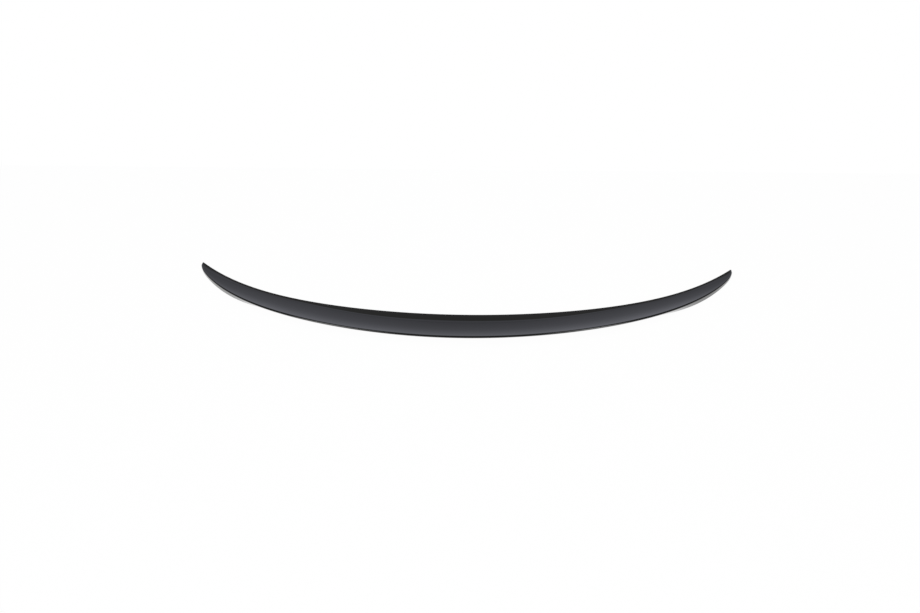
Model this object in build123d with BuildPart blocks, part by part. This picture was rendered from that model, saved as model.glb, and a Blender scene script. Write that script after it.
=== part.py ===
"""Rear lip spoiler for a car's boot lid: a bowed, hollow plastic moulding with two strips of mounting tape.

Frame, in millimetres: +X to the car's right, +Y towards its front, +Z up. The origin is the middle of the
front tape's lower face, so Z = 0 is the surface that the spoiler is stuck to.
"""

import os
from math import acos, atan, atan2, cos, exp, pi, radians, sin, sqrt, tan, tanh

from build123d import *

# Plan form
WIDTH = 1150.0  # tip to tip
BOW = 91.0  # how far the front edge bows forward from the centre to the tips
TIP_SWEEP = 48.0  # further forward sweep of the front edge, close to the tips
CHORD = 75.6  # front edge to rear lip, at the centre
CHORD_LOSS = 34.0  # how much shorter the chord is near the tips
TIP_CHORD = 20.0  # length of the blunt end at each tip
TIP_ROUNDING = 42.0  # how far in from the tip the chord shrinks towards the blunt end
END_CHORD = 13.0  # flat part of the blunt end, in front of its rounded rear corner
END_ROUNDING = 4.0  # how far in from the tip that corner reaches
TIP_CORNER = 1.6  # radius of the tip's front corner, seen from above

# Cross-section
EDGE_HEIGHT = 1.6  # front edge above the base
EDGE_BREAK = 0.5  # bevel along the top of the front edge
FLANGE = 18.0  # nearly flat flange in front of the crease, at the centre
TIP_FLANGE = 6.0  # the same flange towards the tips
FLANGE_REACH = 276.0  # how far out from the centre the wide flange lasts
FLANGE_SLOPE = 5.5  # degrees
LIP_HEIGHT = 21.0  # top of the lip above the base, at the centre
TIP_HEIGHT = 4.5  # top of the lip above the base, at the tips
LIP_RADIUS = 2.5  # rounded trailing edge
LOW_LIP = 5.0  # a lip of this height or less has a clearly smaller radius
LIP_BREAK = 0.5  # degrees of turn where the round of the lip meets the top face and the rear wall
FACE_CURL = 8.0  # degrees by which the top face is steeper at the lip than on average
UNDERCUT = 19.6  # how far the rear wall's foot stands in front of the lip, at the centre
TIP_UNDERCUT = -0.5  # the same at the tips, where the foot stands out behind the lip
UNDERCUT_REACH = 446.0  # how far out from the centre the undercut lasts

# Hollow underside
WALL = 2.8
LAND_BEHIND_CREASE = 10.0  # solid base between the crease and the hollow
REAR_LAND = 9.0  # solid base behind the hollow
HOLLOW_STEP = 1.4  # height of the hollow at its front side
SOLID_TIP = 50.0  # solid length at each tip
RIB = 2.0  # thickness of a cross rib
RIB_PITCH = 75.0
RIB_SETBACK = 1.0  # ribs stop this far above the base

# Mounting tape
TAPE_THICKNESS = 1.1
FRONT_TAPE = 10.0  # width
REAR_TAPE = 6.0  # width
TAPE_INSET = 1.5  # bare margin between a tape and the edge that it follows
FRONT_TAPE_END = 26.0  # each end of the front tape, in from the tip
REAR_TAPE_END = 62.0  # each end of the rear tape, in from the tip

# Worked out from the sizes above
HALF = WIDTH / 2
FRONT_Y = TAPE_INSET + FRONT_TAPE / 2  # front edge at the centre
TRIM = 5.0  # sections run this far below the base, and the base plane then trims them
STATIONS = 14  # cross-sections from the centre to each tip
TAPE_STATIONS = 10  # points of a tape's edge from the centre to each end
HAIR = 0.05  # how far a cutter stands off a face that it would otherwise just touch


def stations(reach, count):
    """Places along X out to the reach on both sides of the centre, closer together towards both ends."""
    return [reach * sin(pi / 2 * i / count) for i in range(-count, count + 1)]


def share(x):
    """Place along the span, 0 at the centre and 1 at either tip."""
    return abs(x) / HALF


def front_edge(x):
    """Y of the front edge: a parabola, with a further sweep near the tips."""
    return FRONT_Y + BOW * share(x) ** 2 + TIP_SWEEP * share(x) ** 6


def full_chord(x):
    """Chord before the tip is rounded off."""
    return CHORD - CHORD_LOSS * share(x) ** 2


def chord(x):
    """Chord from the front edge to the lip, rounded off to a blunt end whose own corner is rounded too."""
    inward = HALF - abs(x)
    tip_loss = (full_chord(x) ** 2 - TIP_CHORD**2) * exp(-inward / TIP_ROUNDING)
    corner_loss = (TIP_CHORD**2 - END_CHORD**2) * exp(-inward / END_ROUNDING)
    return sqrt(full_chord(x) ** 2 - tip_loss - corner_loss)


def lip_height(x):
    return LIP_HEIGHT - (LIP_HEIGHT - TIP_HEIGHT) * share(x) ** 6


def lip_radius(x):
    """Radius of the trailing edge, which shrinks where the lip is low."""
    return LIP_RADIUS * tanh(lip_height(x) / LOW_LIP)


def undercut(x):
    """Overhang of the lip: even along the middle, and running out before the tips."""
    return TIP_UNDERCUT + (UNDERCUT - TIP_UNDERCUT) * exp(-((x / UNDERCUT_REACH) ** 8))


def flange(x):
    """Width of the front flange: wide in the middle, a narrow border towards the tips."""
    middle = exp(-((x / FLANGE_REACH) ** 4))
    return (TIP_FLANGE + (FLANGE - TIP_FLANGE) * middle) * chord(x) / full_chord(x)


def rear_foot(x):
    """Y of the rear edge of the base."""
    return front_edge(x) - chord(x) + undercut(x)


def across(edge, x, distance):
    """Y distance that measures the given distance square to a plan curve at x."""
    slope = (edge(x + 1) - edge(x - 1)) / 2
    return distance * sqrt(1 + slope**2)


def section_plane(x):
    """Plane of the cross-section at x: first axis back from the front edge, second axis up from the base."""
    return Plane(origin=(x, front_edge(x), TAPE_THICKNESS), x_dir=(0, -1, 0), z_dir=(-1, 0, 0))


def direction(angle):
    return Vector(cos(angle), sin(angle))


class Section:
    """Key points of the outer cross-section at x, in its section plane."""

    def __init__(self, x):
        rise = tan(radians(FLANGE_SLOPE))
        self.edge_shoulder = Vector(EDGE_BREAK, EDGE_HEIGHT + EDGE_BREAK * rise)
        self.crease = Vector(flange(x), EDGE_HEIGHT + flange(x) * rise)
        self.foot = Vector(chord(x) - undercut(x), 0)
        self.lip_radius = lip_radius(x)
        self.lip_centre = Vector(chord(x) - self.lip_radius, lip_height(x) - self.lip_radius)

        # The top face rises to the lip, and ends on the round of the lip.
        run = self.lip_centre + Vector(0, self.lip_radius) - self.crease
        self.face_angle = atan2(run.Y, run.X) + radians(FACE_CURL)
        self.face_end = self.lip_centre + self.lip_radius * direction(self.face_angle + pi / 2)
        self.face_bend = bend_before(self.crease, self.face_end, self.face_angle)

        # The rear wall leaves the round of the lip along the tangent that meets the foot.
        down = self.foot - self.lip_centre
        self.wall_facing = atan2(down.Y, down.X) + acos(self.lip_radius / down.length)
        self.wall_top = self.lip_centre + self.lip_radius * direction(self.wall_facing)


def bend_before(start, end, angle):
    """Control point of a curve from start that arrives at end along the given angle."""
    return end - (end - start).length / 2 * direction(angle)


def meet(point_a, angle_a, point_b, angle_b):
    """Where a line through point_a meets a line through point_b."""
    side = direction(angle_b + pi / 2)
    along = (point_b - point_a).dot(side) / direction(angle_a).dot(side)
    return point_a + along * direction(angle_a)


def body_section(x):
    """Outer cross-section: front edge, flange, hollow-ground top face, round lip and undercut rear wall."""
    s = Section(x)
    turn = s.face_angle + pi / 2 - s.wall_facing
    handle = s.lip_radius * tan(turn / 4)  # from an end of half that turn to where its tangents meet
    lip_top = s.face_end + handle * direction(s.face_angle - radians(LIP_BREAK))
    lip_middle = s.lip_centre + s.lip_radius * direction(s.wall_facing + turn / 2)
    lip_back = s.wall_top - handle * direction(s.wall_facing - pi / 2 + radians(LIP_BREAK))
    with BuildSketch(section_plane(x)) as section:
        with BuildLine():
            Line((0, -TRIM), (0, EDGE_HEIGHT - EDGE_BREAK))
            Line((0, EDGE_HEIGHT - EDGE_BREAK), s.edge_shoulder)
            Line(s.edge_shoulder, s.crease)
            Bezier(s.crease, s.face_bend, s.face_end)
            Bezier(s.face_end, lip_top, lip_middle)
            Bezier(lip_middle, lip_back, s.wall_top)
            Line(s.wall_top, s.foot)
            Line(s.foot, (s.foot.X, -TRIM))
            Line((s.foot.X, -TRIM), (0, -TRIM))
        make_face()
    return section.sketch


def hollow_section(x):
    """Cross-section of the hollow: its ridge lies one wall inside both the top face and the rear wall."""
    s = Section(x)
    roof_end = s.face_end - WALL * direction(s.face_angle + pi / 2)
    wall_end = s.wall_top - WALL * direction(s.wall_facing)
    ridge = meet(roof_end, s.face_angle, wall_end, s.wall_facing - pi / 2)
    front = Vector(flange(x) + LAND_BEHIND_CREASE, HOLLOW_STEP)
    rear = Vector(s.foot.X - across(rear_foot, x, REAR_LAND), 0)
    with BuildSketch(section_plane(x)) as section:
        with BuildLine():
            Line((front.X, -TRIM), front)
            Bezier(front, bend_before(front, ridge, s.face_angle), ridge)
            Line(ridge, rear)
            Line(rear, (rear.X, -TRIM))
            Line((rear.X, -TRIM), (front.X, -TRIM))
        make_face()
    return section.sketch


def tape_outline(edge, side, width, reach):
    """Plan outline of a tape that follows an edge of the base, on the side that points into the base."""
    places = stations(reach, TAPE_STATIONS)
    near = [(x, edge(x) + side * across(edge, x, TAPE_INSET)) for x in places]
    far = [(x, edge(x) + side * across(edge, x, TAPE_INSET + width)) for x in places]
    with BuildSketch() as outline:
        with BuildLine():
            Spline(*near)
            Spline(*far)
            Line(near[0], far[0])
            Line(near[-1], far[-1])
        make_face()
    return outline.sketch


# Mould core that leaves the hollow, with a slot for each cross rib
hollow_reach = HALF - SOLID_TIP
rib_count = 2 * int((hollow_reach - RIB_PITCH / 2) / RIB_PITCH) + 1
with BuildPart() as hollow_core:
    loft(sections=[hollow_section(x) for x in stations(hollow_reach, STATIONS)])
    with Locations((0, 0, TAPE_THICKNESS + RIB_SETBACK)):
        with GridLocations(RIB_PITCH, 0, rib_count, 1):
            Box(RIB, WIDTH, LIP_HEIGHT, align=(Align.CENTER, Align.CENTER, Align.MIN), mode=Mode.SUBTRACT)

# Cutter that rounds the front corner of each tip, as a wedge between the sharp corner and its arc.
# Its corner lies a hair outside the moulding's, so that the arc crosses both faces instead of touching them.
corner_slope = atan(front_edge(HALF) - front_edge(HALF - 1))
corner = Vector(HALF, front_edge(HALF)) + HAIR * Vector(1, tan(corner_slope) + 1 / cos(corner_slope))
along_front = -direction(corner_slope)
off_front = direction(corner_slope + pi / 2) * TIP_CORNER
off_tip = Vector(TIP_CORNER, 0)
tangent_length = TIP_CORNER / tan((pi / 2 - corner_slope) / 2)
arc_start = corner - Vector(0, tangent_length)
arc_end = corner + tangent_length * along_front
with BuildPart() as corner_cutter:
    with BuildSketch():
        with BuildLine():
            TangentArc(arc_start, arc_end, tangent=(0, 1))
            Polyline(arc_end, arc_end + off_front, corner + off_front + off_tip)
            Polyline(corner + off_front + off_tip, arc_start + off_tip, arc_start)
        make_face()
    extrude(amount=TAPE_THICKNESS + LIP_HEIGHT)
    mirror(about=Plane.YZ)

# The moulding itself
with BuildPart() as spoiler_body:
    loft(sections=[body_section(x) for x in stations(HALF, STATIONS)])
    split(bisect_by=Plane.XY.offset(TAPE_THICKNESS), keep=Keep.TOP)
    add(hollow_core.part, mode=Mode.SUBTRACT)
    add(corner_cutter.part, mode=Mode.SUBTRACT)
spoiler_body.part.label = "spoiler_body"

# Mounting tapes on the two lands of the base
with BuildPart() as front_tape:
    add(tape_outline(front_edge, -1, FRONT_TAPE, HALF - FRONT_TAPE_END))
    extrude(amount=TAPE_THICKNESS)
front_tape.part.label = "front_tape"

with BuildPart() as rear_tape:
    add(tape_outline(rear_foot, 1, REAR_TAPE, HALF - REAR_TAPE_END))
    extrude(amount=TAPE_THICKNESS)
rear_tape.part.label = "rear_tape"

os.makedirs("parts", exist_ok=True)
for piece in (spoiler_body, front_tape, rear_tape):
    export_step(piece.part, f"parts/{piece.part.label}.step")
    print(piece.part.label, "volume", round(piece.part.volume), "mm3, size", piece.part.bounding_box().size)
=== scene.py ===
# %% [markdown]
# # Rear lip spoiler
# A lip spoiler is a slim plastic moulding that is stuck along the trailing edge of a car's boot lid. This one
# is a bowed bar in gloss black, tapered to blunt tips, with a ribbed hollow below and two strips of foam
# tape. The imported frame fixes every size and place, in metres. This lesson gives the pieces their looks.

# %% Load the frame
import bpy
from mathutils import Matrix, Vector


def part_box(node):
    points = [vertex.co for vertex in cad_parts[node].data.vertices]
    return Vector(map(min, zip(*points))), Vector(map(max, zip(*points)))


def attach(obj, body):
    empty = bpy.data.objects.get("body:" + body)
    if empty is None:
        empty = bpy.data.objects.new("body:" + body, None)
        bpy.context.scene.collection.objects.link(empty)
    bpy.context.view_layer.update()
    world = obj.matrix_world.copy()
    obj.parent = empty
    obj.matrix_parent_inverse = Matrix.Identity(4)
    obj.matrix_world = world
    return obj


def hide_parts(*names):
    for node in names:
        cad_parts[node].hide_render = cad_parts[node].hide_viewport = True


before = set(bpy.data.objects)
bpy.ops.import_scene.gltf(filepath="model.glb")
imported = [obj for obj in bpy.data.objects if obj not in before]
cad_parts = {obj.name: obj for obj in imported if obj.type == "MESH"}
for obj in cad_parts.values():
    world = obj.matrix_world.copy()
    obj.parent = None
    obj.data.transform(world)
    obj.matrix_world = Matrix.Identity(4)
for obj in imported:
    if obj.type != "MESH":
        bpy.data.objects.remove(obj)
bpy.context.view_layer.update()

from types import SimpleNamespace

import bmesh
import bpy
import numpy as np
from mathutils import Matrix, Vector

# %% [markdown]
# ## Camera
# The photograph looks down at the spoiler from behind and a little to the right, with a slight tilt of the
# camera. A Track To constraint could aim a camera, but it can't hold that tilt, so the camera's three axes
# are worked out from its angles and written straight into its matrix. The focal length was measured in
# pixels, and a sensor of known width turns it into the lens that Blender wants.

# %% Camera
IMAGE_WIDTH = 920  # pixels
FOCAL_LENGTH = 1136.9  # pixels
SENSOR = 36.0  # millimetres, as Blender counts them
VIEW_ELEVATION = np.radians(50.0)
VIEW_AZIMUTH = np.radians(5.033)
VIEW_ROLL = np.radians(-2.933)
VIEW_DISTANCE = 2.4
VIEW_TARGET = Vector((-0.0023, 0.0308, 0.0))


def looking_at(target, distance, azimuth, elevation, roll=0.0):
    """Matrix of a camera or lamp that faces a target from a distance. Its back is the direction at that
    azimuth and elevation, its right is level and square to that, and the roll turns right and up about
    back."""
    level, height = np.cos(elevation), np.sin(elevation)
    back = Vector((np.sin(azimuth) * level, -np.cos(azimuth) * level, height))
    level_right = Vector((np.cos(azimuth), np.sin(azimuth), 0.0))
    level_up = back.cross(level_right)
    right = np.cos(roll) * level_right + np.sin(roll) * level_up
    up = np.cos(roll) * level_up - np.sin(roll) * level_right
    return Matrix.Translation(target + distance * back) @ Matrix((right, up, back)).transposed().to_4x4()


camera = bpy.data.objects.new("camera", bpy.data.cameras.new("camera"))
camera.data.sensor_fit = "HORIZONTAL"
camera.data.sensor_width = SENSOR
camera.data.lens = SENSOR * FOCAL_LENGTH / IMAGE_WIDTH
camera.matrix_world = looking_at(VIEW_TARGET, VIEW_DISTANCE, VIEW_AZIMUTH, VIEW_ELEVATION, VIEW_ROLL)
bpy.context.collection.objects.link(camera)
bpy.context.scene.camera = camera
bpy.context.scene.view_settings.view_transform = "Standard"
print("camera at", [round(c, 3) for c in camera.matrix_world.translation], "lens", round(camera.data.lens, 2))

# %% [markdown]
# ## Nodes
# Every finish below is a tree of shader nodes. Adding and linking nodes by hand takes many lines, so one
# helper makes a node, sets its options, and fills its inputs: an input that is given a socket is linked to
# it, and an input that is given a number or a colour is set to it.


# %% Helpers for nodes
def add_node(tree, kind, inputs=None, **options):
    """A new node of that kind, with its options set and its inputs linked or set."""
    node = tree.nodes.new("ShaderNode" + kind)
    for name, value in options.items():
        setattr(node, name, value)
    for name, value in (inputs or {}).items():
        if isinstance(value, bpy.types.NodeSocket):
            tree.links.new(value, node.inputs[name])
        else:
            node.inputs[name].default_value = value
    return node


def calculate(tree, operation, *values):
    """Result socket of a Math node on the given sockets or numbers."""
    return add_node(tree, "Math", dict(enumerate(values)), operation=operation).outputs[0]


def empty_tree(owner):
    """The owner's node tree, switched on and cleared."""
    owner.use_nodes = True
    owner.node_tree.nodes.clear()
    return owner.node_tree


def grey(level):
    """Opaque grey of that brightness."""
    return (level, level, level, 1.0)


print("node helpers ready")

# %% [markdown]
# ## Floor
# The part lies on a plain white table that is lit until it is white in the picture. A lamp that bright would
# spoil the black, so the camera and mirror-like reflections see the floor as nearly white by itself, which
# Light Path tells apart, and a small share of it stays an ordinary matt surface, which takes the part's soft
# shadow. The table ends not far beyond the part, so that the gloss mirrors the wall there and no far stretch
# of white table.

# %% Floor
FLOOR_SIDE = 7.0  # from the part to the table's sides and front
FLOOR_BACK = 0.45  # from the part to the table's back edge
FLOOR_WHITE = 0.9  # how much light the matt floor returns
FLOOR_GLOW = 1.02  # brightness of the floor to the eye
GLOW_SHARE = 0.95  # the rest is the matt floor with its shadow

front_corners = [(-FLOOR_SIDE, -FLOOR_SIDE, 0.0), (FLOOR_SIDE, -FLOOR_SIDE, 0.0)]
back_corners = [(FLOOR_SIDE, FLOOR_BACK, 0.0), (-FLOOR_SIDE, FLOOR_BACK, 0.0)]
floor_mesh = bpy.data.meshes.new("floor")
floor_mesh.from_pydata(front_corners + back_corners, [], [(0, 1, 2, 3)])
floor = bpy.data.objects.new("floor", floor_mesh)
bpy.context.collection.objects.link(floor)


def seen_directly(tree):
    """Socket that is 1 for rays from the camera, a mirror or glass, and 0 for scattered light."""
    path = add_node(tree, "LightPath").outputs
    mirrored = calculate(tree, "MAXIMUM", path["Is Camera Ray"], path["Is Glossy Ray"])
    return calculate(tree, "MAXIMUM", mirrored, path["Is Transmission Ray"])


floor_material = bpy.data.materials.new("white table")
tree = empty_tree(floor_material)
matt = add_node(tree, "BsdfDiffuse", {"Color": grey(FLOOR_WHITE)}).outputs[0]
glow = add_node(tree, "Emission", {"Color": grey(1.0), "Strength": FLOOR_GLOW}).outputs[0]
glow_share = calculate(tree, "MULTIPLY", seen_directly(tree), GLOW_SHARE)
table = add_node(tree, "MixShader", {0: glow_share, 1: matt, 2: glow}).outputs[0]
add_node(tree, "OutputMaterial", {"Surface": table})
floor_mesh.materials.append(floor_material)
print("floor", 2 * FLOOR_SIDE, "m wide")

# %% [markdown]
# ## Studio light
# Gloss black has hardly any colour of its own: what one sees on it is the room. So the world is drawn as a
# plain studio. Beyond the part stands a cool white wall that is brightest at the floor and fades upwards into
# a grey ceiling. A narrow dark seam near the wall's top gives the crease its fine line. The height of a
# direction picks its shade from a Color Ramp.

# %% Shades of the far wall
WALL_TINT = (0.87, 0.885, 1.0)
WALL_SHADES = (  # degrees up, brightness
    (0.0, 0.62), (14.0, 0.46), (26.2, 0.42), (27.0, 0.32), (27.8, 0.46), (33.0, 0.44)
)
CEILING_SHADES = ((37.0, 0.2), (60.0, 0.19))

world = bpy.data.worlds.new("studio")
bpy.context.scene.world = world
tree = empty_tree(world)
towards = add_node(tree, "TexCoord").outputs["Generated"]
axes = add_node(tree, "SeparateXYZ", {0: towards}).outputs
ramp = add_node(tree, "ValToRGB", {"Fac": axes["Z"]})
stops = ramp.color_ramp.elements
shades = [(angle, shade * np.array(WALL_TINT)) for angle, shade in WALL_SHADES]
shades += [(angle, shade * np.ones(3)) for angle, shade in CEILING_SHADES]
while len(stops) < len(shades):
    stops.new(1.0)
for stop, (angle, colour) in zip(stops, shades):
    stop.position = np.sin(np.radians(angle))
    stop.color = [*colour, 1.0]
print("far wall and ceiling in", len(shades), "shades")

# %% [markdown]
# The wall is a little dimmer in the middle, between the lamps, so how far a direction points sideways dims
# its shade. The rest of the room is dim, and how far a direction points beyond the part mixes that dim room
# with the wall. Camera rays see plain white instead.

# %% Room
WALL_MIDDLE = -0.056  # sideways direction of the dim middle of the wall
MIDDLE_SHADE = 0.87  # brightness of that middle, beside the rest
MIDDLE_REACH = 0.07  # how far to each side of it the wall is dimmed
WALL_START = 0.3  # how far beyond the part a direction points where the wall starts
WALL_FULL = 0.6  # how far it points where nothing of the dim room is left
DIM_ROOM = 0.09  # brightness of the rest of the room


def mix_colours(tree, factor, first, second):
    """Colour that goes from the first to the second as the factor goes from 0 to 1. A Mix node numbers the
    inputs of its two colours 6 and 7, and their output 2."""
    return add_node(tree, "Mix", {"Factor": factor, 6: first, 7: second}, data_type="RGBA").outputs[2]


sideways = calculate(tree, "ABSOLUTE", calculate(tree, "SUBTRACT", axes["X"], WALL_MIDDLE))
reach = {"Value": sideways, "From Max": MIDDLE_REACH, "To Min": MIDDLE_SHADE}
dimming = add_node(tree, "MapRange", reach, interpolation_type="SMOOTHSTEP").outputs["Result"]
dimmed = {0: ramp.outputs["Color"], "Scale": dimming}
wall = add_node(tree, "VectorMath", dimmed, operation="SCALE").outputs["Vector"]
beyond = {"Value": axes["Y"], "From Min": WALL_START, "From Max": WALL_FULL}
facing_wall = add_node(tree, "MapRange", beyond, interpolation_type="SMOOTHSTEP").outputs["Result"]
room = mix_colours(tree, facing_wall, grey(DIM_ROOM), wall)
camera_ray = add_node(tree, "LightPath").outputs["Is Camera Ray"]
shown = mix_colours(tree, camera_ray, room, grey(1.0))
background = add_node(tree, "Background", {"Color": shown, "Strength": 1.0}).outputs[0]
add_node(tree, "OutputWorld", {"Surface": background})
print("studio drawn with", len(tree.nodes), "nodes")

# %% [markdown]
# Two softboxes stand behind the camera, one on each side. On the real part they make the two lighter
# stretches along the nose of the lip. A third, large lamp hangs overhead and lights the matt surfaces evenly.
# Its own mirror image is switched off, as a photographer would hang it where the gloss doesn't show it.

# %% Lamps
LAMP_DISTANCE = 2.6
STANDING = {"elevation": 30.0, "width": 0.7, "height": 2.6, "watts": 14.0}
HANGING = {"elevation": 89.0, "width": 2.4, "height": 2.4, "watts": 24.0}


def add_softbox(name, azimuth, elevation, width, height, watts):
    """A lamp at that direction from the part, in degrees, turned to face it. Azimuth 0 is behind the camera,
    and positive is to its right."""
    lamp = bpy.data.lights.new(name, "AREA")
    lamp.shape = "RECTANGLE"
    lamp.size = width
    lamp.size_y = height
    lamp.energy = watts
    softbox = bpy.data.objects.new(name, lamp)
    softbox.matrix_world = looking_at(Vector(), LAMP_DISTANCE, np.radians(azimuth), np.radians(elevation))
    softbox.visible_camera = False
    bpy.context.collection.objects.link(softbox)
    return softbox


add_softbox("right_softbox", azimuth=33.0, **STANDING)
add_softbox("left_softbox", azimuth=-39.0, **STANDING)
overhead = add_softbox("overhead", azimuth=0.0, **HANGING)
overhead.visible_glossy = False

# %% [markdown]
# ## Plan form
# Seen from above, the front edge follows the boot lid: a shallow parabola that sweeps forward near the tips.
# The chord, from front edge to lip, is longest in the middle and rounds off to a blunt end. A modeller could
# draw these as curves and bridge them. Here each is a short formula of x, so a whole row of stations is
# worked out at once.

# %% Plan form
CHORD = 0.0756  # front edge to lip, at the centre
CHORD_LOSS = 0.034  # how much shorter the chord is near the tips
BOW = 0.091  # how far the front edge bows forward from the centre to the tips
TIP_SWEEP = 0.048  # further forward sweep, close to the tips
TIP_CHORD = 0.020  # length of the blunt end at each tip
TIP_ROUNDING = 0.042  # how far in from the tip the chord shrinks towards it
END_CHORD = 0.013  # flat part of the blunt end, in front of its rounded rear corner
END_ROUNDING = 0.004  # how far in from the tip that corner reaches

body_low, body_high = (np.array(corner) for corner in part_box("spoiler_body"))
HALF = (body_high[0] - body_low[0]) / 2
BASE = body_low[2]  # underside of the moulding, on top of the tapes
FRONT_Y = body_low[1] + CHORD  # front edge at the centre


def share(x):
    """Place along the span: distance from the centre over half the width."""
    return np.abs(x) / HALF


def front_edge(x):
    """Y of the front edge: a parabola, plus a sixth power near the tips."""
    return FRONT_Y + BOW * share(x) ** 2 + TIP_SWEEP * share(x) ** 6


def full_chord(x):
    """Chord before the tips are rounded: the centre's, less a parabola."""
    return CHORD - CHORD_LOSS * share(x) ** 2


def chord(x):
    """Chord with rounded tips: its square falls to the blunt end's by an exponential of the way to the tip,
    and by a second, shorter one to the flat part of that end."""
    inward = HALF - np.abs(x)
    tip_loss = (full_chord(x) ** 2 - TIP_CHORD**2) * np.exp(-inward / TIP_ROUNDING)
    corner_loss = (TIP_CHORD**2 - END_CHORD**2) * np.exp(-inward / END_ROUNDING)
    return np.sqrt(full_chord(x) ** 2 - tip_loss - corner_loss)


print("front edge", round(float(front_edge(0)), 4), "to", round(float(front_edge(HALF)), 4))

# %% [markdown]
# ## Points of a cut
# A cut across the moulding is drawn with pairs (v, z): v counts back from the front edge, and z up from the
# base. A few helpers turn angles into such pairs and back, for all stations at once.


# %% Points of a cut
def pair(v, z):
    """Points (v, z) from two arrays or numbers."""
    return np.stack(np.broadcast_arrays(v, z), axis=-1)


def direction(angle):
    """Unit vectors at these angles, up from the way back: cosine and sine."""
    return pair(np.cos(angle), np.sin(angle))


def angle_of(step):
    """Angle of a step (v, z), up from the way back."""
    return np.arctan2(step[..., 1], step[..., 0])


def length_of(step):
    """Length of a step: the root of its squares' sum."""
    return np.linalg.norm(step, axis=-1)


def bend_before(start, end, angle):
    """Control point of a curve that arrives at its end along an angle: half the distance back from it."""
    return end - length_of(end - start)[:, None] / 2 * direction(angle)


print("a step at 30 degrees is", direction(np.radians(30.0)).round(3))

# %% [markdown]
# ## Cross-section
# A cut through the moulding shows a thin front edge, a nearly flat flange, a crease, a top face that curls
# upwards to a round nose, and a rear wall that is undercut, so that the lip overhangs. All the key points of
# a cut depend on x alone.

# %% Cross-section
EDGE_HEIGHT = 0.0016  # front edge above the base
FLANGE = 0.018  # flange at the centre
TIP_FLANGE = 0.006  # flange towards the tips
FLANGE_REACH = 0.276  # how far out the wide flange lasts
FLANGE_SLOPE = np.radians(5.5)
LIP_HEIGHT = 0.021
TIP_HEIGHT = 0.0045
LIP_RADIUS = 0.0025
LOW_LIP = 0.0050  # a lip of this height or less has a clearly smaller radius
FACE_CURL = np.radians(8.0)
UNDERCUT = 0.0196  # how far the lip overhangs the foot of the rear wall
TIP_UNDERCUT = -0.0005  # at the tips the foot stands out behind the lip
UNDERCUT_REACH = 0.446  # how far out the overhang lasts


def flange(x):
    """Width of the flange: wide and narrow widths mixed by a flat-topped bell, and shrunk with the tip."""
    middle = np.exp(-((x / FLANGE_REACH) ** 4))
    return (TIP_FLANGE + (FLANGE - TIP_FLANGE) * middle) * chord(x) / full_chord(x)


def cross_section(x):
    """Key points at stations x. The lip's height falls by a sixth power towards the tips, its radius follows
    a hyperbolic tangent of the height, and its overhang runs out by a flat-topped bell. The face ends, and
    the rear wall starts, as a tangent of the nose."""
    height = LIP_HEIGHT - (LIP_HEIGHT - TIP_HEIGHT) * share(x) ** 6
    radius = LIP_RADIUS * np.tanh(height / LOW_LIP)[:, None]
    overhang = TIP_UNDERCUT + (UNDERCUT - TIP_UNDERCUT) * np.exp(-((x / UNDERCUT_REACH) ** 8))
    cut = SimpleNamespace(height=height, radius=radius)
    cut.crease = pair(flange(x), EDGE_HEIGHT + flange(x) * np.tan(FLANGE_SLOPE))
    cut.foot = pair(chord(x) - overhang, 0.0)
    cut.nose = pair(chord(x), height) - radius
    cut.face_angle = angle_of(pair(cut.nose[:, 0], height) - cut.crease) + FACE_CURL
    cut.face_end = cut.nose + radius * direction(cut.face_angle + np.pi / 2)
    cut.face_bend = bend_before(cut.crease, cut.face_end, cut.face_angle)
    down = cut.foot - cut.nose
    cut.wall_facing = angle_of(down) + np.arccos(radius[:, 0] / length_of(down))
    cut.wall_top = cut.nose + radius * direction(cut.wall_facing)
    return cut


middle_cut = cross_section(np.zeros(1))
for name in ("crease", "nose", "foot"):
    print(name, "of the middle cut", getattr(middle_cut, name)[0].round(4))

# %% [markdown]
# ## Runs of points
# The outline of a cut is a chain of straight runs, curves and arcs. Each run is worked out for all stations
# at once, as an array of stations by points, and neighbouring runs share a point.


# %% Runs of points
def straight(start, end, count=2):
    """Points at equal steps from start to end: start plus u times the way."""
    u = np.linspace(0.0, 1.0, count)[:, None]
    return start[:, None] + u * (end - start)[:, None]


def curve(start, bend, end, count, first=0.0):
    """Quadratic curve for u from first to 1: (1-u)² start + 2u(1-u) bend + u² end."""
    u = np.linspace(first + np.zeros(len(start)), 1.0, count, axis=1)[..., None]
    return (1 - u) ** 2 * start[:, None] + 2 * u * (1 - u) * bend[:, None] + u**2 * end[:, None]


def arc(centre, radius, begin, end, count):
    """Points on a circle at equal steps of angle: centre plus radius times direction."""
    return centre[:, None] + radius[:, None] * direction(np.linspace(begin, end, count, axis=1))


def chain(*runs):
    """Runs joined end to end, with each shared point kept once."""
    return np.concatenate([runs[0]] + [run[:, 1:] for run in runs[1:]], axis=1)


print("three kinds of run, and a chain to join them")

# %% [markdown]
# ## Outer profile
# The outside of one cut goes up the front edge, over flange, crease and face to the nose, and down the rear
# wall. In the solid the crease is an exact corner, and the front edge has a plain bevel. A moulded edge is
# always a little round and catches a line of light, so here both get a small radius.

# %% Outer profile
EDGE_ROUND = 0.0005  # radius along the top of the front edge
CREASE_SOFTNESS = 0.0007  # half length of the rounded crease
EDGE_POINTS = 3  # up the front edge
ROUND_POINTS = 7  # along each small radius
FLANGE_POINTS = 12
FACE_POINTS = 44
NOSE_POINTS = 24
REAR_POINTS = 10  # down the rear wall


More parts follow.
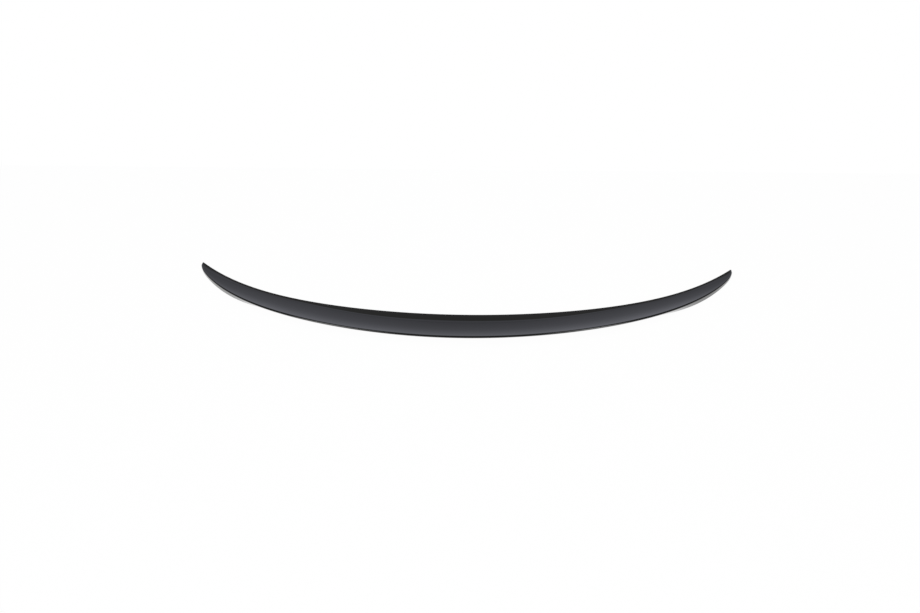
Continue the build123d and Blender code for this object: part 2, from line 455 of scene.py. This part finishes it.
def outer_profile(x):
    """Front edge, flange, crease, face, nose and rear wall, from the base in front to the base behind."""
    cut = cross_section(x)
    front = np.zeros_like(x)
    edge_top = pair(front, EDGE_HEIGHT - EDGE_ROUND)
    shoulder = pair(front + EDGE_ROUND, EDGE_HEIGHT + EDGE_ROUND * np.tan(FLANGE_SLOPE))
    crease_start = cut.crease - CREASE_SOFTNESS * direction(FLANGE_SLOPE)
    face_start = CREASE_SOFTNESS / (2 * length_of(cut.face_bend - cut.crease))
    face = curve(cut.crease, cut.face_bend, cut.face_end, FACE_POINTS, face_start)
    return chain(
        straight(pair(front, 0.0), edge_top, EDGE_POINTS),
        curve(edge_top, pair(front, EDGE_HEIGHT), shoulder, ROUND_POINTS),
        straight(shoulder, crease_start, FLANGE_POINTS),
        curve(crease_start, cut.crease, face[:, 0], ROUND_POINTS),
        face,
        arc(cut.nose, cut.radius, cut.face_angle + np.pi / 2, cut.wall_facing, NOSE_POINTS),
        straight(cut.wall_top, cut.foot, REAR_POINTS),
    )


print("outer profile has", outer_profile(np.zeros(1)).shape[1], "points")

# %% [markdown]
# ## Underside
# A thick bar of plastic would sink in as it cools, so the real moulding is hollow below, with a wall of even
# thickness and a cross rib every hand's width. A Boolean could cut that, but it leaves ragged faces. Instead,
# the hollow is one more profile on the same stations. In a rib the same points are laid out along the rib's
# edge, and in the solid tips along the base, so ribs and end walls appear between two rows that share a
# station. Two helpers come first: one finds where the roof and the rear side of the hollow meet, and the
# other lays points out flat.


# %% Helpers for the hollow
def meet(point_a, angle_a, point_b, angle_b):
    """Where two lines cross: from point_a along angle_a until the distance to the other line is used up."""
    across = direction(angle_b + np.pi / 2)
    along = np.sum((point_b - point_a) * across, axis=1) / np.sum(direction(angle_a) * across, axis=1)
    return point_a + along[:, None] * direction(angle_a)


def lay_flat(profile, above):
    """Profiles whose points above are laid out evenly on a straight line: start plus a share of the way to
    the end, where start and end are the points just before and after them, and the share counts points."""
    rows, count = np.arange(len(profile)), profile.shape[1]
    first = above.argmax(axis=1) - 1
    last = np.minimum(count - above[:, ::-1].argmax(axis=1), count - 1)
    start, end = profile[rows, first][:, None], profile[rows, last][:, None]
    way = (np.arange(count) - first[:, None]) / (last - first)[:, None]
    return np.where(above[..., None], start + way[..., None] * (end - start), profile)


print("helpers for the hollow ready")

# %% [markdown]
# The underside goes from the foot of the rear wall over the rear land, up the rear side of the hollow to its
# ridge, down along the roof to a step, and over the front land to the front edge.

# %% Underside profile
WALL = 0.0028
LAND_BEHIND_CREASE = 0.010  # solid base between the crease and the hollow
REAR_LAND = 0.009  # solid base behind the hollow
HOLLOW_STEP = 0.0014  # height of the hollow at its front side
SOLID_TIP = 0.050
HOLLOW_REACH = HALF - SOLID_TIP
RIB_SETBACK = 0.001  # ribs stop this far above the base
SMALL_STEP = 0.001  # for slopes
SAME_PLACE = 1e-6  # closer points count as one
REAR_LAND_POINTS = 4
HOLLOW_SIDE_POINTS = 5  # up the rear side of the hollow
ROOF_POINTS = 22
FRONT_LAND_POINTS = 5


def rear_foot(x):
    """Y of the rear edge of the base: the front edge minus the foot's v."""
    return front_edge(x) - cross_section(x).foot[:, 0]


def underside_profile(x, ceiling):
    """From the foot of the rear wall to the front edge, with all points above the ceiling laid flat. The
    hollow's ridge lies one wall inside both the face and the rear wall. Past the hollow's end the points keep
    their share of the base's width."""
    inside = np.clip(x, -HOLLOW_REACH, HOLLOW_REACH)
    cut = cross_section(inside)
    roof_end = cut.face_end - WALL * direction(cut.face_angle + np.pi / 2)
    wall_end = cut.wall_top - WALL * direction(cut.wall_facing)
    ridge = meet(roof_end, cut.face_angle, wall_end, cut.wall_facing - np.pi / 2)
    slope = (rear_foot(inside + SMALL_STEP) - rear_foot(inside - SMALL_STEP)) / (2 * SMALL_STEP)
    rear = cut.foot - pair(REAR_LAND * np.sqrt(1 + slope**2), 0.0)
    rear_rib = rear + RIB_SETBACK / ridge[:, 1:] * (ridge - rear)
    step_foot = pair(flange(inside) + LAND_BEHIND_CREASE, 0.0)
    step_rib = step_foot + (0.0, RIB_SETBACK)
    step_top = step_foot + (0.0, HOLLOW_STEP)
    roof = curve(step_top, bend_before(step_top, ridge, cut.face_angle), ridge, ROOF_POINTS)
    profile = chain(
        straight(cut.foot, rear, REAR_LAND_POINTS),
        straight(rear, rear_rib),
        straight(rear_rib, ridge, HOLLOW_SIDE_POINTS),
        roof[:, ::-1],
        straight(step_top, step_rib),
        straight(step_rib, step_foot),
        straight(step_foot, np.zeros_like(step_foot), FRONT_LAND_POINTS),
    )
    above = profile[..., 1] > ceiling[:, None] + SAME_PLACE
    widening = cross_section(x).foot[:, 0] / cut.foot[:, 0]
    return lay_flat(profile, above) * pair(widening, 1.0)[:, None]


open_hollow = underside_profile(np.zeros(1), np.full(1, np.inf))
print("underside profile has", open_hollow.shape[1], "points")
print("the hollow is", open_hollow[..., 1].max().round(4), "m deep")

# %% [markdown]
# ## Tips
# At a tip the front corner is rounded in plan, and all edges of the end face get a small radius. A Bevel
# modifier would round them too, but it would also find the ribs. Here both are done by drawing the profile in
# a little at the last stations.

# %% Tips
TIP_CORNER = 0.0016  # radius of the tip's front corner, seen from above
END_ROUND = 0.0006  # radius round the end face

tip_slope = np.arctan((front_edge(HALF) - front_edge(HALF - SMALL_STEP)) / SMALL_STEP)
corner_length = TIP_CORNER / np.tan((np.pi / 2 - tip_slope) / 2)  # from the sharp corner to the arc's start
corner_start = HALF - corner_length * np.cos(tip_slope)


def corner_cut(x):
    """How far the rounded corner stands behind the front edge: front edge minus the arc's circle."""
    along = np.maximum(np.abs(x) - (HALF - TIP_CORNER), corner_start - (HALF - TIP_CORNER))
    circle = front_edge(HALF) - corner_length + np.sqrt(np.maximum(TIP_CORNER**2 - along**2, 0.0))
    return np.where(np.abs(x) > corner_start, np.maximum(front_edge(x) - circle, 0.0), 0.0)


def end_inset(x):
    """How far the profile is drawn in near the end face: radius minus the height of a quarter circle."""
    along = np.maximum(np.abs(x) - (HALF - END_ROUND), 0.0)
    return END_ROUND - np.sqrt(np.maximum(END_ROUND**2 - along**2, 0.0))


def place(x, profile):
    """Profiles carried to their stations: X is the station, Y the front edge minus v, Z the base plus z. Near
    a tip, v first shrinks towards the lip by the corner's cut, and then v and z shrink towards the middle of
    the profile by the end's inset."""
    corner, length, inset = corner_cut(x)[:, None], chord(x)[:, None], end_inset(x)[:, None]
    v = corner + profile[..., 0] * (length - corner) / length
    middle, half = (length + corner) / 2, (length - corner) / 2
    v = middle + (v - middle) * (1 - inset / half)
    half_height = cross_section(x).height[:, None] / 2
    z = half_height + (profile[..., 1] - half_height) * (1 - inset / half_height)
    return np.stack(np.broadcast_arrays(x[:, None], front_edge(x)[:, None] - v, BASE + z), axis=-1)


print("tip corners are rounded over the last", round(float(1000 * (HALF - corner_start)), 2), "mm")

# %% [markdown]
# ## Stations
# The stations where the profile is placed crowd together towards the tips, where the shape changes fastest.
# The sides of the ribs and the ends of the hollow are stations too. They divide the underside into stretches
# that are hollow, rib or solid, and each stretch has its own ceiling.

# %% Stations
STATION_COUNT = 421
RIB = 0.002  # thickness of a rib
RIB_PITCH = 0.075

ribs_each_side = int((HOLLOW_REACH - RIB_PITCH / 2) / RIB_PITCH)
rib_places = RIB_PITCH * np.arange(-ribs_each_side, ribs_each_side + 1)
rib_sides = np.ravel(rib_places[:, None] + (-RIB / 2, RIB / 2))
limits = np.concatenate([[-HALF, -HOLLOW_REACH], rib_sides, [HOLLOW_REACH, HALF]])
spread = HALF * np.sin(np.pi / 2 * np.linspace(-1.0, 1.0, STATION_COUNT))
stations = np.unique(np.concatenate([spread, limits]))

ceilings = np.array([0.0] + [np.inf, RIB_SETBACK] * len(rib_places) + [np.inf, 0.0])
stretches = [stations[(stations >= a) & (stations <= b)] for a, b in zip(limits[:-1], limits[1:])]
under_stations = np.concatenate(stretches)
under_ceilings = np.repeat(ceilings, [len(stretch) for stretch in stretches])
print(len(stations), "stations,", len(rib_places), "ribs,", len(stretches), "stretches of the underside")

# %% [markdown]
# ## The moulding
# Outside and underside are two grids of points over the stations. Quads join neighbouring points, and the
# ring of points at each tip closes the end. The outside takes the gloss finish, and the underside the plain
# moulded one.

# %% Points and faces of the moulding
GLOSS, MOULDED = 0, 1  # places of the two finishes in the list of materials


def number_points(grid, first):
    """Numbers of a grid's points, counted along its rows from the first."""
    rows, columns = grid.shape[:2]
    return first + np.arange(rows * columns).reshape(rows, columns)


def quads_between(numbers):
    """Corner numbers of the quads between neighbouring points of a grid."""
    corners = numbers[:-1, :-1], numbers[1:, :-1], numbers[1:, 1:], numbers[:-1, 1:]
    return np.stack(corners, axis=-1).reshape(-1, 4)


outside = place(stations, outer_profile(stations))
underside = place(under_stations, underside_profile(under_stations, under_ceilings))
outer_numbers = number_points(outside, 0)
under_numbers = number_points(underside, outer_numbers.size)
points = np.concatenate([outside.reshape(-1, 3), underside.reshape(-1, 3)])

outer_faces = quads_between(outer_numbers).tolist()
under_faces = quads_between(under_numbers).tolist()
tip_rings = [np.concatenate([outer_numbers[row], under_numbers[row, 1:-1]]) for row in (0, -1)]
tip_faces = [ring.tolist() for ring in tip_rings]
finish = np.repeat([GLOSS, MOULDED, GLOSS], [len(outer_faces), len(under_faces), len(tip_faces)])

body_mesh = bpy.data.meshes.new("moulded_body")
body_mesh.from_pydata(points, [], outer_faces + under_faces + tip_faces)
body_mesh.polygons.foreach_set("material_index", finish.astype(np.int32))
print(len(body_mesh.vertices), "points and", len(body_mesh.polygons), "faces before merging")

# %% [markdown]
# Merging the points that coincide makes one closed shell. Quads between two rows that share a station vanish
# where the rows are the same, and stay where only one of them is hollow. The angle between faces then tells
# Blender which edges stay sharp under smooth shading.

# %% Closed shell
SHARP_EDGE = np.radians(30.0)

shell = bmesh.new()
shell.from_mesh(body_mesh)
bmesh.ops.remove_doubles(shell, verts=shell.verts, dist=SAME_PLACE)
bmesh.ops.recalc_face_normals(shell, faces=shell.faces)
open_edges = sum(not edge.is_manifold for edge in shell.edges)
volume = 1e6 * shell.calc_volume()
print(len(shell.faces), "faces,", open_edges, "open edges,", round(volume, 2), "cubic centimetres")
shell.to_mesh(body_mesh)
shell.free()
body_mesh.shade_smooth()
body_mesh.set_sharp_from_angle(angle=SHARP_EDGE)
moulded_body = bpy.data.objects.new("moulded_body", body_mesh)
bpy.context.collection.objects.link(moulded_body)

# %% [markdown]
# ## Gloss black
# The top is black plastic under a clear lacquer, so it is seen almost only by its reflections. Principled's
# coat is that lacquer: a smooth layer that mirrors the room once more, over the plastic's own sheen. Two
# things tell the plastic from a perfect mirror. Its sheen is a little uneven, so a slow noise varies the
# roughness, and its skin has a faint orange peel a few millimetres across, which a second noise gives as
# bump.

# %% Gloss black
BLACK = (0.005, 0.005, 0.005, 1.0)
NOISE_LOW, NOISE_HIGH = 0.3, 0.7  # a noise seldom leaves this range


def new_finish(name, colour):
    """A material with one Principled shader of that colour. Returns it, its tree, the shader and Object
    coordinates."""
    material = bpy.data.materials.new(name)
    tree = empty_tree(material)
    shader = add_node(tree, "BsdfPrincipled", {"Base Color": colour})
    add_node(tree, "OutputMaterial", {"Surface": shader.outputs[0]})
    return material, tree, shader, add_node(tree, "TexCoord").outputs["Object"]


def vary(tree, where, socket, scale, lowest, highest):
    """Links a socket to a noise of that scale, spread between two values."""
    noise = add_node(tree, "TexNoise", {"Vector": where, "Scale": scale, "Detail": 3.0}).outputs["Fac"]
    levels = {"From Min": NOISE_LOW, "From Max": NOISE_HIGH, "To Min": lowest, "To Max": highest}
    tree.links.new(add_node(tree, "MapRange", {"Value": noise, **levels}).outputs["Result"], socket)


def add_bump(tree, shader, height, depth, strength):
    """Turns a height into bump of that depth, in metres, on a shader."""
    bump = add_node(tree, "Bump", {"Height": height, "Distance": depth, "Strength": strength})
    tree.links.new(bump.outputs["Normal"], shader.inputs["Normal"])


gloss_black, tree, shader, where = new_finish("gloss black", BLACK)
shader.inputs["Coat Weight"].default_value = 1.0
shader.inputs["Coat Roughness"].default_value = 0.03
vary(tree, where, shader.inputs["Roughness"], scale=14.0, lowest=0.05, highest=0.085)
peel = add_node(tree, "TexNoise", {"Vector": where, "Scale": 260.0, "Detail": 1.0}).outputs["Fac"]
add_bump(tree, shader, peel, depth=0.00002, strength=0.25)
body_mesh.materials.append(gloss_black)
print("finish", gloss_black.name, "with", len(tree.nodes), "nodes")

# %% [markdown]
# ## Moulded underside
# The half of the mould that shapes the underside isn't polished, so the plastic there comes out satin, with
# the fine grain of the machined tool. The same shader is used with a higher roughness and a bump of fine
# noise.

# %% Moulded underside
MOULDED_BLACK = (0.017, 0.017, 0.0175, 1.0)

moulded, tree, shader, where = new_finish("moulded underside", MOULDED_BLACK)
vary(tree, where, shader.inputs["Roughness"], scale=40.0, lowest=0.42, highest=0.58)
grain = add_node(tree, "TexNoise", {"Vector": where, "Scale": 1400.0, "Detail": 4.0}).outputs["Fac"]
add_bump(tree, shader, grain, depth=0.00006, strength=0.35)
body_mesh.materials.append(moulded)
print("finish", moulded.name, "with", len(tree.nodes), "nodes")

# %% [markdown]
# ## Foam tape
# The two strips that hold the part to the boot lid are dark acrylic foam, about a millimetre thick. The
# solids already have the right shape, so they stay and only get a finish: matt, with tiny cells from a
# Voronoi texture.

# %% Foam tape
FOAM = (0.035, 0.035, 0.036, 1.0)

foam, tree, shader, where = new_finish("foam tape", FOAM)
vary(tree, where, shader.inputs["Roughness"], scale=60.0, lowest=0.8, highest=0.95)
cells = add_node(tree, "TexVoronoi", {"Vector": where, "Scale": 1600.0}).outputs["Distance"]
add_bump(tree, shader, cells, depth=0.0001, strength=0.5)
for name in ("front_tape", "rear_tape"):
    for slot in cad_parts[name].material_slots:
        slot.material = foam
print("finish", foam.name, "on both tapes")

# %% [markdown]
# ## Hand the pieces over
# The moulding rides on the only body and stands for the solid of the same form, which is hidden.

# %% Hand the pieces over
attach(moulded_body, "root")
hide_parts("spoiler_body")
